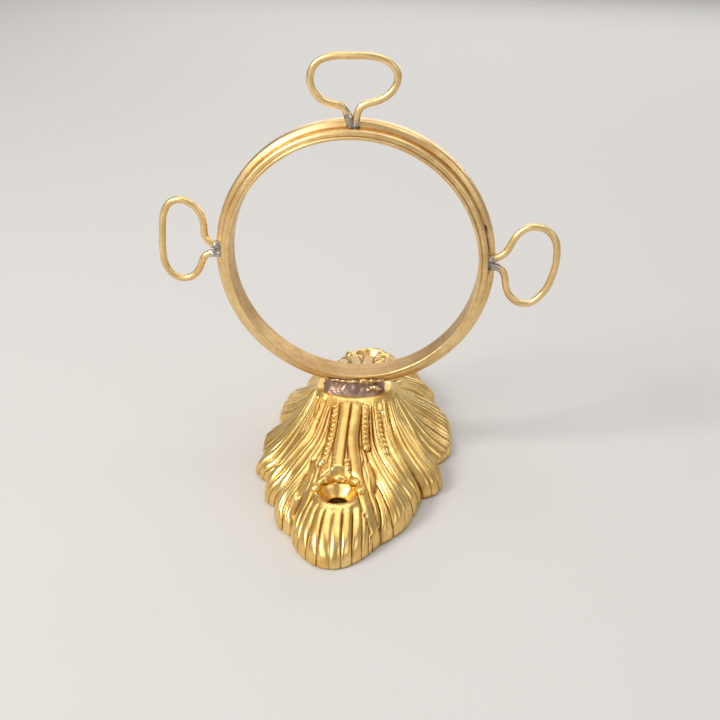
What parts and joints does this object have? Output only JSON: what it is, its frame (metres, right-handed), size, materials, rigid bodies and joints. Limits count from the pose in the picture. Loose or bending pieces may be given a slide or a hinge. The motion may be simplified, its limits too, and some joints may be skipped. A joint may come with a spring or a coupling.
{
  "type": "tumbler and toothbrush holder",
  "caption": "Wall-mounted brass tumbler and toothbrush holder: a cast acanthus rosette with screw holes, a moulded ring soldered on edge to it, and wire loops round the ring.",
  "frame": {"origin": "on the wall plane, midway between the two screw holes", "axes": "+Z points away from the wall, +Y runs along the ring's axis and the line of the screw holes, towards the plain side of the ring, and +X runs across the rosette, towards the right loop seen from the lipped side"},
  "size_m": [0.1149, 0.122, 0.1203],
  "materials": {
    "gilt_casting": "bright gilt casting, satin in the flutes",
    "ring_brass": "satin, lightly tarnished",
    "wire_brass": "satin drawn wire",
    "braze": "rough brazing metal",
    "dark_solder": "dull oxidised solder",
    "bright_solder": "grey solder with bright spots"
  },
  "bodies": {
    "root": {"rosette": "gilt_casting", "ring_liner": "ring_brass", "ring_moulding": "ring_brass", "ring_seam_braze": "braze", "foot_solder": "dark_solder", "left_loop": "wire_brass", "outer_loop": "wire_brass", "right_loop": "wire_brass", "left_solder": "bright_solder", "outer_solder": "bright_solder", "right_solder": "bright_solder"}
  },
  "joints": []
}
